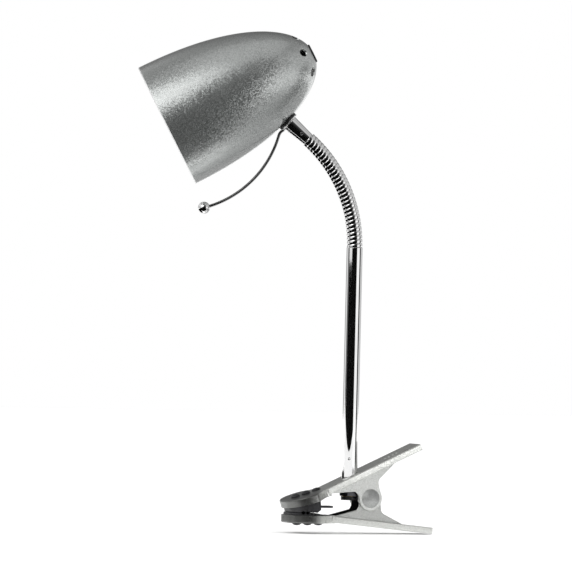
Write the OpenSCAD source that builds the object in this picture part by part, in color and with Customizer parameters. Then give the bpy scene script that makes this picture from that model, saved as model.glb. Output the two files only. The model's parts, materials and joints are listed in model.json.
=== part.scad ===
// Clip on reading lamp: a sprung clamp, a swivelling stem, a gooseneck and a bullet shade.
// Millimetres, +Z up. The origin is the middle of the grip between the two jaw pads.
// +X runs along the clamp from the jaws to the handles, and the stem stands along +Z.

/* [Clamp] */
// Slope of the upper lever above level, in degrees
upper_slope = 24.7; // [23.5:0.1:26]
// Slope of the lower lever below level, in degrees
lower_slope = 5.6; // [4.5:0.1:6.5]
// Length of each lever's straight body
lever_len = 82.5; // [80:0.1:84]
// Distance from the pivot axis to each lever's outer face
lever_rise = 21.2; // [21:0.1:21.6]
// Width of each lever
lever_w = 20; // [20:0.1:20.6]
// Sheet thickness of the levers
sheet_t = 1.6; // [1.4:0.1:1.7]
// Height of the thick strip along each lever's edge
strip_h = 4.8; // [4.4:0.1:5.2]
// Radius of the ears round the pivot
ear_r = 9.3; // [9:0.1:9.4]
// Width across each jaw head
jaw_w = 40; // [38:0.5:42]
// Height of a jaw head's skirt
jaw_h = 6; // [5.6:0.1:6.4]
// Slope of the upper jaw head, in degrees
jaw_slope = 17; // [16:0.5:18]

/* [Stem] */
// Outer diameter of the stem tube
tube_d = 12; // [11.6:0.1:12.1]
// Height of the stem's top above the grip
stem_top = 199; // [185:1:215]

/* [Gooseneck] */
// Outer diameter of the gooseneck
neck_d = 11.6; // [11:0.1:12]
// Radius of the bend that the gooseneck rests in
neck_bend_r = 105; // [103:0.5:110]
// Angle that the gooseneck turns through, in degrees
neck_turn = 49.4; // [48:0.1:51]

/* [Head] */
// Turn of the head about the stem, in degrees
head_yaw = 22; // [0:1:30]
// Slope of the shade's axis below level, in degrees
shade_pitch = 27.8; // [26:0.1:29]
// Diameter of the shade's rim
shade_d = 97; // [95:0.5:99]
// Length of the shade from its rim to the point where its curve would close
shade_len = 123; // [122:0.5:124]
// Wall of the shade
shade_wall = 1; // [0.8:0.1:1.2]
// Length of the ferrule
ferrule_len = 18.9; // [18.5:0.1:19.5]

/* [Hidden] */
$fn = 64;
eps = 0.01;
paint = "gainsboro";
chrome = "silver";
black = "dimgray";

// Clamp: the lever frame has its origin on the pivot, X along the lever and Z outwards.
pivot = [49, 0, 11];
pin_r = 2.5;
pin_clearance = 0.05;
lever_start = -29.5;
strip_proud = 0.6;
strip_low = lever_rise - strip_h;
upper_ear_in = lever_w / 2 - sheet_t;
lower_ear_in = upper_ear_in - sheet_t - 0.3;
web_front = 27.5;
web_back = 29;
web_low = 9.5;
ear_front = 8.2;
cap_r = 7;
cap_h = 3.2;
pin_len = 23;

// Jaw heads: the head frame has its outer face at Z = 0 and its front towards -X.
upper_head_at = [1, 0, 14.1];
lower_head_at = [1, 0, -8];
upper_front = 19.8;
lower_front = 17.3;
upper_flare = [-1, 14];
lower_flare = [0, 18];
corner_r = 16;
flank_steps = 8;
pad_inset = sheet_t + 0.1;
pad_gap = 0.2;
stud_pitch = 8.6;
stud_r = 3.4;
stud_h = 1.9;
shank_r = 2.4;
upper_studs = [-9.2, -9.2 + stud_pitch, -9.2 + 2 * stud_pitch];
lower_studs = [-7.4, -7.4 + stud_pitch, -7.4 + 2 * stud_pitch];

// Torsion spring
wire_r = 0.75;
coil_r = 4.7;
coil_turns = 6;
coil_pitch = 1.4;
leg_reach = 27;

// Stem: its axis is vertical, and stands just in front of the pivot.
stem_x = pivot[0] - 13.7;
tube_r = tube_d / 2;
tube_bore_r = 5;
socket_r = 7.6;
socket_low = 17;
socket_floor = 2.5;
tube_low = socket_low + socket_floor + 0.3;
running = 0.06;
nipple_low = 12.2;
nipple_high = 32;
nipple_bore_r = 3.4;
washer_high = socket_low - 0.3;
nut_high = washer_high - 0.8;
nut_low = nut_high - 3.4;
nut_r = 7.5;
bush_r = 6;
bush_low = 9.4;
cord_r = 2.6;
plug_len = 14;

// Gooseneck: ten joints share its turn, and each length ends in a ball seated in the next one's cup.
joints = 10;
step = neck_turn / joints;
chord = 2 * neck_bend_r * sin(step / 2);
sleeve_gap = 1.1;
ball_r = 3.4;
cup_r = 3.7;
ball_neck_r = 2.6;

// Head: the mount frame starts at the gooseneck's end, and Z points through the shade's wall.
ferrule_small_r = 4.9;
ferrule_large_r = 6.1;
flange_r = 8;
flange_t = 1;
washer_gap = 1.2;
bolt_r = 4;
bolt_bore_r = 2.6;
bolt_low = 12;
screw_at = 6.7;
seat_z = ferrule_len + flange_t + washer_gap;
inner_washer_z = seat_z + shade_wall + 0.75;
inner_nut_z = inner_washer_z + 1.2;
bolt_high = inner_nut_z + 5.5;

// Aiming handle, placed from the flange's centre in the head plane
wire_d = 2.2;
handle_r = 78.4;
handle_centre = [-83.25, 10.17];
handle_from = 12.8;
handle_to = 73.5;
handle_ball_r = 4.5;
ball_turn = 74.5;
weld_r = 7.1;
weld_drop = 0.9;

// Shade: the shade frame has its origin at the rim's centre, and Z runs to the tail.
bulge = 2.2;
tip_r = 7.2;
seat_t = 82.75;
vent_count = 6;
vent_r = 3;
vent_ring_r = 16.5;
vent_turn = 10;
shade_steps = 28;

// Lampholder and bulb, measured along the shade frame's Z
holder_r = 13;
holder_front = 82;
holder_back = shade_len - 2.8;
socket_floor_t = 103;
well_floor_t = 107;
well_r = 5.1;
neck_thread_r = 6.2;
shell_r = 7.6;
shell_wall = 0.5;
bulb_cap_r = 6.9;
bulb_r = 22.5;
bulb_centre = 46;
bulb_neck_t = 81;
bulb_blend = 0.72;
neck_steps = 8;
button_r = 4.8;
button_back = 116;

function shade_r(t, r, len) = r * sqrt(1 - pow(min(t / len, 1), bulge));
function tip_t(r, len) = len * pow(1 - pow(tip_r / r, 2), 1 / bulge);
function turn_x(phi) = -neck_bend_r * (1 - cos(phi));
function turn_z(phi) = stem_top + neck_bend_r * sin(phi);
outer_tip = tip_t(shade_d / 2, shade_len);
inner_tip = tip_t(shade_d / 2 - shade_wall, shade_len - shade_wall);
seat_x = turn_x(neck_turn) - seat_z * sin(neck_turn);
seat_h = turn_z(neck_turn) + seat_z * cos(neck_turn);
seat_r = shade_r(seat_t, shade_d / 2, shade_len);
rim_x = seat_x - seat_t * cos(shade_pitch) - seat_r * sin(shade_pitch);
rim_z = seat_h - seat_t * sin(shade_pitch) + seat_r * cos(shade_pitch);
flange_x = turn_x(neck_turn) - (ferrule_len + flange_t / 2) * sin(neck_turn);
flange_z = turn_z(neck_turn) + (ferrule_len + flange_t / 2) * cos(neck_turn);

// Frames

module upper_side() {
    translate(pivot) rotate([0, -upper_slope, 0]) children();
}

module lower_side() {
    translate(pivot) mirror([0, 0, 1]) rotate([0, -lower_slope, 0]) children();
}

module upper_head() {
    translate(upper_head_at) rotate([0, -jaw_slope, 0]) children();
}

module lower_head() {
    translate(lower_head_at) mirror([0, 0, 1]) children();
}

module on_stem() {
    translate([stem_x, 0, 0]) children();
}

module head_plane() {
    on_stem() rotate([0, 0, -head_yaw]) children();
}

module at_turn(phi) {
    head_plane() translate([turn_x(phi), 0, turn_z(phi)]) rotate([0, -phi, 0]) children();
}

module at_mount() {
    at_turn(neck_turn) children();
}

module at_shade() {
    head_plane() translate([rim_x, 0, rim_z]) rotate([0, 90 - shade_pitch, 0]) children();
}

module ring(outer, inner, height) {
    difference() {
        cylinder(r = outer, h = height);
        translate([0, 0, -1]) cylinder(r = inner, h = height + 2);
    }
}

module along_y(length) {
    translate([0, length / 2, 0]) rotate([90, 0, 0]) children();
}

// A domed cap: a slice of a sphere, flat face at Z = 0
module dome(radius, height) {
    ball = (radius * radius + height * height) / (2 * height);
    difference() {
        translate([0, 0, height - ball]) sphere(r = ball);
        translate([0, 0, -2 * ball]) cylinder(r = 2 * ball, h = 2 * ball);
    }
}

// Clamp

module side_outline() {
    circle(r = ear_r);
    polygon([[-web_front, strip_low], [-web_low, web_low], [-ear_front, web_low - 2], [-ear_front, 0],
        [ear_r, 0], [ear_r + 0.4, 4], [ear_r + 1.6, web_low + 0.2], [web_back, strip_low],
        [web_back, lever_rise - 1], [-web_front, lever_rise - 1]]);
}

module lever_channel(ear_in) {
    translate([lever_start, -lever_w / 2, lever_rise - sheet_t]) cube([lever_len, lever_w, sheet_t]);
    strip_w = lever_w / 2 + strip_proud - ear_in;
    for (side = [-1, 1]) {
        translate([lever_start, side * (ear_in + strip_w / 2) - strip_w / 2, strip_low])
            cube([lever_len, strip_w, strip_h]);
        translate([0, side * (ear_in + sheet_t / 2) + sheet_t / 2, 0])
            rotate([90, 0, 0]) linear_extrude(sheet_t) side_outline();
    }
}

// Half the width of a jaw head at x: wide at the front, and flaring down to the lever's width
function head_half(x, flare) = x <= flare[0] ? jaw_w / 2
    : x >= flare[1] ? lever_w / 2
    : lever_w / 2 + (jaw_w - lever_w) / 4 * (1 + cos(180 * (x - flare[0]) / (flare[1] - flare[0])));

module jaw_outline(front, flare, inset, back) {
    r = corner_r - inset;
    corner_x = corner_r - front;
    corner_y = jaw_w / 2 - corner_r;
    run = flare[1] - flare[0];
    corner = [for (a = [180 : -15 : 90]) [corner_x + r * cos(a), corner_y + r * sin(a)]];
    flank = [for (i = [0 : flank_steps]) let (x = flare[0] + run * i / flank_steps)
        [x, head_half(x, flare) - inset]];
    near = concat(corner, flank, [[back, lever_w / 2 - inset]]);
    far = [for (i = [len(near) - 1 : -1 : 0]) [near[i][0], -near[i][1]]];
    polygon(concat(near, far));
}

module jaw_shell(front, flare, studs) {
    difference() {
        translate([0, 0, -jaw_h]) linear_extrude(jaw_h) jaw_outline(front, flare, 0, flare[1] + 1);
        translate([0, 0, -jaw_h - 1])
            linear_extrude(jaw_h + 1 - sheet_t) jaw_outline(front, flare, sheet_t, flare[1] + 3);
        for (x = studs) translate([x, 0, -sheet_t - 1]) cylinder(r = shank_r + 0.1, h = sheet_t + 2);
    }
}

module jaw_studs(studs) {
    for (x = studs) translate([x, 0, 0]) {
        dome(stud_r, stud_h);
        translate([0, 0, -sheet_t - 1]) cylinder(r = shank_r, h = sheet_t + 1 + eps);
    }
}

// The rubber under a jaw head: the space in its skirt, down to the gripping profile
module pad_block(profile) {
    along_y(jaw_w) linear_extrude(jaw_w) polygon(profile);
}

module upper_lever() {
    color(paint) difference() {
        union() {
            upper_side() lever_channel(upper_ear_in);
            upper_head() jaw_shell(upper_front, upper_flare, upper_studs);
        }
        translate(pivot) along_y(40) cylinder(r = pin_r, h = 40);
        on_stem() translate([0, 0, socket_low]) cylinder(r = tube_r + 0.35, h = 20);
    }
}

module lower_lever() {
    color(paint) difference() {
        union() {
            lower_side() lever_channel(lower_ear_in);
            lower_head() jaw_shell(lower_front, lower_flare, lower_studs);
        }
        translate(pivot) along_y(40) cylinder(r = pin_r + pin_clearance, h = 40);
    }
}

// Teeth across the grip: a saw of vees between two stations, depth positive upwards
function teeth(from, count, pitch, z, depth) = [for (i = [0 : count - 1], k = [0, 1])
    [from + pitch * (i + k / 2), k == 0 ? z : z + depth]];

module upper_pad() {
    color(black) {
        intersection() {
            upper_head() translate([0, 0, -20])
                linear_extrude(20 - sheet_t - 0.05) jaw_outline(upper_front, upper_flare, pad_inset, 13);
            pad_block(concat([[-22, 30], [-22, pad_gap]], teeth(-9, 4, 3, pad_gap, 1.4),
                [[3, pad_gap], [6, 2.6], [6, 9.5], [14, 12], [14, 30]]));
        }
        translate([4, -lever_w / 4, 3.4]) cube([17.5, lever_w / 2, 1.5]);
        upper_head() jaw_studs(upper_studs);
    }
}

module lower_pad() {
    color(black) {
        intersection() {
            lower_head() translate([0, 0, -20])
                linear_extrude(20 - sheet_t - 0.05) jaw_outline(lower_front, lower_flare, pad_inset, 16);
            pad_block(concat([[-22, -30], [-22, -pad_gap]], teeth(-9, 4, 3, -pad_gap, -1.4),
                [[3, -pad_gap], [14, -2.4], [14, -30]]));
        }
        lower_head() jaw_studs(lower_studs);
    }
}

module pivot_pin() {
    color(chrome) translate(pivot) along_y(pin_len) cylinder(r = pin_r, h = pin_len);
}

module pivot_cap(side) {
    color(paint) translate(pivot) difference() {
        translate([0, side * (lever_w / 2 + 0.05), 0]) rotate([side * -90, 0, 0]) dome(cap_r, cap_h);
        along_y(pin_len) cylinder(r = pin_r, h = pin_len);
    }
}

// A leg leaves the coil as a tangent and ends against its lever's inner face.
module spring_leg(y) {
    reach = [leg_reach, lever_rise - sheet_t - wire_r - 0.1];
    away = norm(reach);
    tangent = atan2(reach[1], reach[0]) + acos(coil_r / away);
    leg_len = sqrt(away * away - coil_r * coil_r);
    rotate([0, -tangent, 0]) translate([coil_r - 0.12, y, 0]) rotate([180, 0, 0])
        cylinder(r = wire_r - 0.1, h = leg_len);
}

module torsion_spring() {
    coil_w = (coil_turns - 1) * coil_pitch;
    color(chrome) {
        translate(pivot) rotate([90, 0, 0]) rotate_extrude($fn = 48) union() {
            for (i = [0 : coil_turns - 1])
                translate([coil_r, i * coil_pitch - coil_w / 2]) circle(r = wire_r, $fn = 16);
            translate([coil_r - 0.1, -coil_w / 2]) square([0.2, coil_w]);
        }
        upper_side() spring_leg(-coil_w / 2);
        lower_side() spring_leg(coil_w / 2);
    }
}

module stem_socket() {
    color(black) difference() {
        on_stem() translate([0, 0, socket_low]) cylinder(r = socket_r, h = 20);
        upper_side() translate([-60, -20, lever_rise - sheet_t]) cube([120, 40, 40]);
        on_stem() translate([0, 0, socket_low + socket_floor]) cylinder(r = tube_r + running, h = 20);
        on_stem() cylinder(r = tube_bore_r + running, h = 40);
    }
}

// Stem

module stem_tube() {
    color(chrome) on_stem() translate([0, 0, tube_low]) ring(tube_r, tube_bore_r, stem_top - tube_low);
}

module threaded_nipple() {
    color("darkkhaki") on_stem() translate([0, 0, nipple_low])
        ring(tube_bore_r, nipple_bore_r, nipple_high - nipple_low);
}

module spring_washer() {
    color(chrome) on_stem() translate([0, 0, nut_high]) ring(nut_r, tube_bore_r, washer_high - nut_high);
}

module lock_nut() {
    color(chrome) on_stem() translate([0, 0, nut_low]) difference() {
        cylinder(r = nut_r, h = nut_high - nut_low, $fn = 6);
        translate([0, 0, -1]) cylinder(r = tube_bore_r, h = 10);
    }
}

module cord_bush() {
    color(black) on_stem() difference() {
        union() {
            translate([0, 0, bush_low]) cylinder(r = bush_r, h = nipple_low - bush_low);
            translate([0, 0, nipple_low - eps]) cylinder(r = nipple_bore_r, h = 4);
        }
        cylinder(r = cord_r, h = 40);
    }
}

module neck_plug() {
    color(chrome) on_stem() translate([0, 0, stem_top - plug_len]) ring(tube_bore_r, ball_neck_r, plug_len);
}

// Gooseneck

module neck_sleeve(low, high) {
    translate([0, 0, low]) cylinder(r = neck_d / 2, h = high - low);
}

module neck_ball(at) {
    translate([0, 0, at]) sphere(r = ball_r);
    translate([0, 0, at - ball_r]) cylinder(r = ball_neck_r, h = ball_r);
}

// One length of gooseneck between joint i and the next, in a frame that follows its chord
module neck_link(i) {
    phi = (i - 0.5) * step;
    head_plane() translate([turn_x(phi), 0, turn_z(phi)]) rotate([0, -i * step, 0]) children();
}

module neck_coil(i) {
    color(chrome) if (i == 1) {
        at_turn(0) neck_sleeve(0, chord / 2 - sleeve_gap);
        neck_link(0) neck_ball(chord);
    } else if (i == joints + 1) {
        neck_link(joints) difference() {
            neck_sleeve(sleeve_gap, chord / 2);
            sphere(r = cup_r);
        }
    } else {
        neck_link(i - 1) difference() {
            union() {
                neck_sleeve(sleeve_gap, chord - sleeve_gap);
                neck_ball(chord);
            }
            sphere(r = cup_r);
        }
    }
}

// Head

module ferrule() {
    color(chrome) at_mount() difference() {
        cylinder(r1 = ferrule_small_r, r2 = ferrule_large_r, h = ferrule_len);
        translate([0, 0, -1]) cylinder(r = bolt_bore_r, h = ferrule_len + 2);
        translate([0, 0, bolt_low]) cylinder(r = bolt_r, h = ferrule_len);
        translate([0, 0, screw_at]) rotate([90, 0, 0]) cylinder(r = 1.2, h = 10);
    }
}

module ferrule_screw() {
    color(chrome) at_mount() translate([0, -3, screw_at]) rotate([90, 0, 0]) cylinder(r = 1.2, h = 2.4);
}

module mount_bolt() {
    color("darkkhaki") at_mount() translate([0, 0, bolt_low])
        ring(bolt_r, bolt_bore_r, bolt_high - bolt_low);
}

module at_flange() {
    head_plane() translate([flange_x, 0, flange_z]) children();
}

function handle_point(a) = [handle_centre[0] + handle_r * cos(a), 0, handle_centre[1] - handle_r * sin(a)];

module handle_wire() {
    start = handle_point(handle_from);
    edge = [weld_drop * sin(neck_turn) - weld_r * cos(neck_turn), 0,
        -weld_drop * cos(neck_turn) - weld_r * sin(neck_turn)];
    run = edge - start;
    color(chrome) {
        at_mount() translate([0, 0, ferrule_len]) ring(flange_r, bolt_r, flange_t);
        at_flange() {
            translate([handle_centre[0], 0, handle_centre[1]]) rotate([90, 0, 0]) rotate([0, 0, -handle_to])
                rotate_extrude(angle = handle_to - handle_from) translate([handle_r, 0]) circle(d = wire_d);
            translate(start) sphere(d = wire_d + 0.1);
            translate(start) rotate([0, atan2(run[0], run[2]), 0])
                cylinder(d = wire_d - 0.2, h = norm(run));
        }
    }
}

module handle_ball() {
    color(chrome) at_flange() translate(handle_point(ball_turn)) rotate([0, ball_turn, 0]) difference() {
        sphere(r = handle_ball_r);
        cylinder(d = wire_d + 0.3, h = 2 * handle_ball_r);
    }
}

module shade_body(r, len, tip, hole) {
    outline = [for (i = [0 : shade_steps]) let (t = tip * sin(90 * i / shade_steps))
        [shade_r(t, r, len), t]];
    rotate_extrude($fn = 96) polygon(concat([[hole, 0]], outline, [[hole, tip]]));
}

module shade() {
    color("silver") difference() {
        at_shade() difference() {
            shade_body(shade_d / 2, shade_len, outer_tip, 0);
            translate([0, 0, -eps])
                shade_body(shade_d / 2 - shade_wall, shade_len - shade_wall, inner_tip, 0);
            cylinder(r = neck_thread_r + 0.1, h = shade_len + 5);
            for (i = [0 : vent_count - 1]) rotate([0, 0, -90 - vent_turn - i * 360 / vent_count])
                translate([vent_ring_r, 0, shade_len - 30]) cylinder(r = vent_r, h = 40);
        }
        at_mount() translate([0, 0, ferrule_len]) cylinder(r = bolt_r + 0.1, h = 15);
    }
}

module saddle_washer() {
    color("black") difference() {
        at_mount() translate([0, 0, ferrule_len + flange_t]) ring(flange_r - 0.4, bolt_r, 6);
        at_shade() shade_body(shade_d / 2 + 0.03, shade_len + 0.03, outer_tip, 0);
    }
}

module inner_washer() {
    color(chrome) at_mount() translate([0, 0, inner_washer_z]) ring(6, bolt_r, 1.2);
}

module inner_nut() {
    color(chrome) at_mount() translate([0, 0, inner_nut_z]) difference() {
        cylinder(r = 6.5, h = 3.5, $fn = 6);
        translate([0, 0, -1]) cylinder(r = bolt_r, h = 6);
    }
}

module holder_body() {
    color(black) at_shade() difference() {
        union() {
            translate([0, 0, holder_front]) cylinder(r = holder_r, h = holder_back - 9 - holder_front);
            translate([0, 0, holder_back - 9 - eps]) cylinder(r1 = holder_r, r2 = neck_thread_r, h = 7);
            translate([0, 0, holder_back - 3]) cylinder(r = neck_thread_r, h = 5.6);
        }
        translate([0, 0, holder_front - 1]) cylinder(r = shell_r, h = socket_floor_t - holder_front + 1);
        translate([0, 0, well_floor_t]) cylinder(r = well_r, h = 30);
    }
}

module socket_shell() {
    color("darkkhaki") at_shade() translate([0, 0, holder_front + 2])
        ring(shell_r, shell_r - shell_wall, socket_floor_t - holder_front - 2);
}

module centre_contact() {
    color("darkkhaki") at_shade() {
        translate([0, 0, socket_floor_t - 0.8]) cylinder(r = 5, h = 0.8);
        translate([0, 0, socket_floor_t - 2]) cylinder(r = 2, h = 1.3);
    }
}

module bulb_cap() {
    color("khaki") at_shade() translate([0, 0, bulb_neck_t])
        ring(bulb_cap_r, bulb_cap_r - 0.6, socket_floor_t - 5 - bulb_neck_t);
}

module bulb_contact() {
    color(black) at_shade() {
        translate([0, 0, socket_floor_t - 6]) cylinder(r = bulb_cap_r - 0.6, h = 1.01);
        translate([0, 0, socket_floor_t - 5]) cylinder(r1 = 5, r2 = 2.4, h = 3);
    }
}

function bulb_half(t, r) = let (
    meet = bulb_centre + r * bulb_blend,
    wide = sqrt(r * r - pow(meet - bulb_centre, 2)),
    slim = bulb_cap_r - (bulb_r - r) - 0.7,
    ease = (t - meet) / (bulb_neck_t - meet))
    t < meet ? sqrt(max(0, r * r - pow(t - bulb_centre, 2)))
        : wide - (wide - slim) * (1 - pow(1 - ease, 1.8));

module bulb_solid(r) {
    ball = [for (a = [0 : 7.5 : 127.5]) [r * sin(a), bulb_centre - r * cos(a)]];
    meet = bulb_centre + r * bulb_blend;
    neck = [for (i = [0 : neck_steps]) let (t = meet + (bulb_neck_t - meet) * i / neck_steps)
        [bulb_half(t, r), t]];
    rotate_extrude() polygon(concat(ball, neck, [[0, bulb_neck_t]]));
}

module bulb_glass() {
    color("white") at_shade() difference() {
        union() {
            bulb_solid(bulb_r);
            translate([0, 0, bulb_neck_t - eps]) cylinder(r = bulb_cap_r - 0.7, h = 4);
        }
        bulb_solid(bulb_r - 0.8);
        translate([0, 0, bulb_neck_t - 1]) cylinder(r = bulb_cap_r - 1.5, h = 10);
    }
}

// The lead inside the head: from the bolt's inner end to the lampholder's shoulder
module supply_lead() {
    lead_start = bolt_high + 2;
    bolt_end = [turn_x(neck_turn) - lead_start * sin(neck_turn),
        turn_z(neck_turn) + lead_start * cos(neck_turn)];
    entry_t = holder_front + 6;
    entry_r = holder_r + 2.4;
    entry = [rim_x + entry_t * cos(shade_pitch) + entry_r * sin(shade_pitch),
        rim_z + entry_t * sin(shade_pitch) - entry_r * cos(shade_pitch)];
    color("white") head_plane() hull() {
        translate([bolt_end[0], 0, bolt_end[1]]) sphere(r = 2.1, $fn = 24);
        translate([entry[0], 0, entry[1]]) sphere(r = 2.1, $fn = 24);
    }
}

// Push switch at the shade's tail

module switch_bezel() {
    color(black) at_shade() difference() {
        translate([0, 0, outer_tip + 0.03]) cylinder(r1 = tip_r + 0.1, r2 = tip_r - 0.8, h = 1.1);
        cylinder(r = neck_thread_r, h = holder_back + 2.6);
        cylinder(r = well_r + 0.1, h = 2 * shade_len);
    }
}

module switch_button() {
    color(black) at_shade() {
        translate([0, 0, button_back]) cylinder(r = button_r, h = outer_tip + 0.5 - button_back);
        translate([0, 0, outer_tip + 0.5 - eps]) dome(button_r, 0.8);
    }
}

module switch_spring() {
    spring_h = button_back - well_floor_t;
    spring_wire = 0.4;
    spring_r = 3.4;
    coils = 9;
    end_gap = 0.55;
    pitch = (spring_h - 2 * end_gap) / (coils - 1);
    color(chrome) at_shade() translate([0, 0, well_floor_t]) rotate_extrude($fn = 32) union() {
        for (i = [0 : coils - 1])
            translate([spring_r, end_gap + i * pitch]) circle(r = spring_wire, $fn = 16);
        translate([spring_r - 0.1, 0.3]) square([0.2, spring_h - 0.6]);
    }
}

upper_lever();
upper_pad();
pivot_pin();
pivot_cap(-1);  // pivot_cap_near
pivot_cap(1);  // pivot_cap_far
torsion_spring();
stem_socket();
lower_lever();
lower_pad();
stem_tube();
threaded_nipple();
spring_washer();
lock_nut();
cord_bush();
neck_plug();
for (i = [1 : joints + 1]) {
    neck_coil(i);
}
ferrule();
ferrule_screw();
mount_bolt();
handle_wire();
handle_ball();
saddle_washer();
inner_washer();
inner_nut();
shade();
holder_body();
socket_shell();
centre_contact();
bulb_cap();
bulb_contact();
bulb_glass();
supply_lead();
switch_bezel();
switch_button();
switch_spring();
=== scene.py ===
"""Looks of a clip on reading lamp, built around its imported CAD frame.

The lamp's sizes are millimetres, as in the CAD, until a mesh is made: MM turns them into metres.
Directions round it are degrees. The camera's and the lights' own distances are metres.
"""

import json
import math

import bmesh
import bpy
from mathutils import Matrix, Vector


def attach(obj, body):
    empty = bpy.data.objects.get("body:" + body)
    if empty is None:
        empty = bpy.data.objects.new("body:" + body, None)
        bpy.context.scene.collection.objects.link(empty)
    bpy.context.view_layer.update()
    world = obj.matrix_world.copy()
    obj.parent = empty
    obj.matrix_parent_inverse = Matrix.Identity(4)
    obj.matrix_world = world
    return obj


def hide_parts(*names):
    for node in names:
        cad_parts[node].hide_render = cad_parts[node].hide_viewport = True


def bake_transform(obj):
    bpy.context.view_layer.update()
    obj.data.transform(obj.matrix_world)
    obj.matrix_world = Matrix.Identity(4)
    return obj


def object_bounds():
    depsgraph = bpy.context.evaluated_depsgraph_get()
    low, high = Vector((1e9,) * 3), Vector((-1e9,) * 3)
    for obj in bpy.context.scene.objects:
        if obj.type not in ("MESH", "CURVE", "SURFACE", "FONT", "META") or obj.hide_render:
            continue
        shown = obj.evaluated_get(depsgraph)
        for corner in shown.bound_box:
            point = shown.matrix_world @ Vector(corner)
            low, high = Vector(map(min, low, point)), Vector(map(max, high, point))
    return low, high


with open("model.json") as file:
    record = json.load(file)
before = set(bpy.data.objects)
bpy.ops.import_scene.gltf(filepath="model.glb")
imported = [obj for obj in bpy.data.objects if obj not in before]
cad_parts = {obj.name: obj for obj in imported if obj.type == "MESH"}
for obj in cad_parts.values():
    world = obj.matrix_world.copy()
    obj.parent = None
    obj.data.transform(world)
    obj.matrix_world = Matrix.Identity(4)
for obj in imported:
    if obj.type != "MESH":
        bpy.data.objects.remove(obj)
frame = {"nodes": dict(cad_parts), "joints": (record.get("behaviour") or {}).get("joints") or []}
cad_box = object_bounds()
scene = bpy.context.scene
MM = 0.001

# ------------ sizes, as in the CAD

joint_at = {j["name"]: Vector(j["pos_m"]) / MM for j in frame["joints"] if "pos_m" in j}
PIVOT = joint_at["clamp_squeeze"]
STEM_X = joint_at["stem_swivel"].x

UPPER_SLOPE = 24.7
LOWER_SLOPE = 5.6
LEVER_START = -29.5
LEVER_END = 53
LEVER_RISE = 21.2
LEVER_HALF = 10
STRIP_HALF = 10.6
STRIP_LOW = 16.4
SHEET = 1.6
UPPER_EAR_IN = 8.4
LOWER_EAR_IN = 6.5
EAR_R = 9.3
PIN_R = 2.5
CAP_R = 7
CAP_H = 3.2

JAW_HALF = 20
JAW_H = 6
JAW_SLOPE = 17
CORNER_R = 16
UPPER_FRONT = 19.8
LOWER_FRONT = 17.3
UPPER_FLARE = (-1, 14)
LOWER_FLARE = (0, 18)
UPPER_STUDS = (-9.2, -0.6, 8.0)
LOWER_STUDS = (-7.4, 1.2, 9.8)
STUD_R = 3.4
STUD_H = 1.9
SHANK_R = 2.4
PAD_GAP = 0.2
TEETH = 4
TOOTH_PITCH = 3
TOOTH_DEPTH = 1.4

COIL_R = 4.7
COIL_WIDE = 7
WIRE_R = 0.62

TUBE_R = 6
TUBE_BORE = 5
TUBE_LOW = 19.8
STEM_TOP = 199

NECK_R = 5.8
NECK_BORE = 3.8
BEND_R = 105
NECK_TURN = 49.4
NECK_JOINTS = 10
NECK_STEP = NECK_TURN / NECK_JOINTS
SPIRAL_PITCH = 3.05
SPIRAL_DEPTH = 0.4

HEAD_YAW = 22
FERRULE_LEN = 18.9
FERRULE_SMALL = 4.9
FERRULE_LARGE = 6.1
FLANGE_R = 8
FLANGE_T = 1
BOLT_R = 4
SCREW_AT = 6.7
SEAT_Z = FERRULE_LEN + FLANGE_T + 1.2
HANDLE_WIRE_R = 1.1
HANDLE_R = 78.4
HANDLE_CENTRE = (-83.25, 10.17)
HANDLE_FROM = 12.8
HANDLE_TO = 73.5
BALL_TURN = 74.5
BALL_R = 4.5
WELD_R = 7.1
WELD_DROP = 0.7

SHADE_R = 48.5
SHADE_LEN = 123
SHADE_WALL = 1
SHADE_PITCH = 27.8
BULGE = 2.2
BEAD_R = 0.85
RIM_INSIDE = 2.6
TIP_R = 7.2
SEAT_T = 82.75
VENTS = 6
VENT_R = 3
VENT_RING = 16.5
VENT_TURN = 10

HOLDER_R = 13
HOLDER_FRONT = 82
HOLDER_BACK = 120.2
SOCKET_FLOOR = 103
WELL_FLOOR = 107
WELL_R = 5.1
NECK_THREAD_R = 6.2
SHELL_R = 7.6
THREAD_PITCH = 2.82
THREAD_STEP = 0.3
BULB_CAP_R = 6.9
BULB_R = 22.5
BULB_CENTRE = 46
BULB_NECK = 81
BUTTON_R = 4.8
BUTTON_BACK = 116
SWITCH_COILS = 7
SWITCH_COIL_R = 3.4
SWITCH_WIRE_R = 0.35
LEAD_R = 2


def shade_radius(t, radius=SHADE_R, length=SHADE_LEN):
    """Radius of the shade's skin at a distance t behind its rim."""
    return radius * math.sqrt(max(0.0, 1 - min(t / length, 1) ** BULGE))


def tip_distance(radius, length):
    """Distance behind the rim at which a skin has come in to the tail hole."""
    return length * (1 - (TIP_R / radius) ** 2) ** (1 / BULGE)


OUTER_TIP = tip_distance(SHADE_R, SHADE_LEN)
INNER_TIP = tip_distance(SHADE_R - SHADE_WALL, SHADE_LEN - SHADE_WALL)

# ------------ frames


def moved(x, y, z):
    return Matrix.Translation((x, y, z))


def turned(degrees, axis):
    return Matrix.Rotation(math.radians(degrees), 4, axis)


FLIP = Matrix.Scale(-1, 4, (0, 0, 1))
ROW = Matrix.Identity(4)
UPPER = moved(*PIVOT) @ turned(-UPPER_SLOPE, "Y")
LOWER = moved(*PIVOT) @ FLIP @ turned(-LOWER_SLOPE, "Y")
UPPER_HEAD = moved(1, 0, 14.1) @ turned(-JAW_SLOPE, "Y")
LOWER_HEAD = moved(1, 0, -8) @ FLIP
STEM = moved(STEM_X, 0, 0)
HEAD_PLANE = STEM @ turned(-HEAD_YAW, "Z")
STANDING = turned(90, "X")  # an outline's Y becomes Z, and its thickness runs to -Y
ALONG_X = Matrix(((0, 0, 1, 0), (1, 0, 0, 0), (0, 1, 0, 0), (0, 0, 0, 1)))


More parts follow.
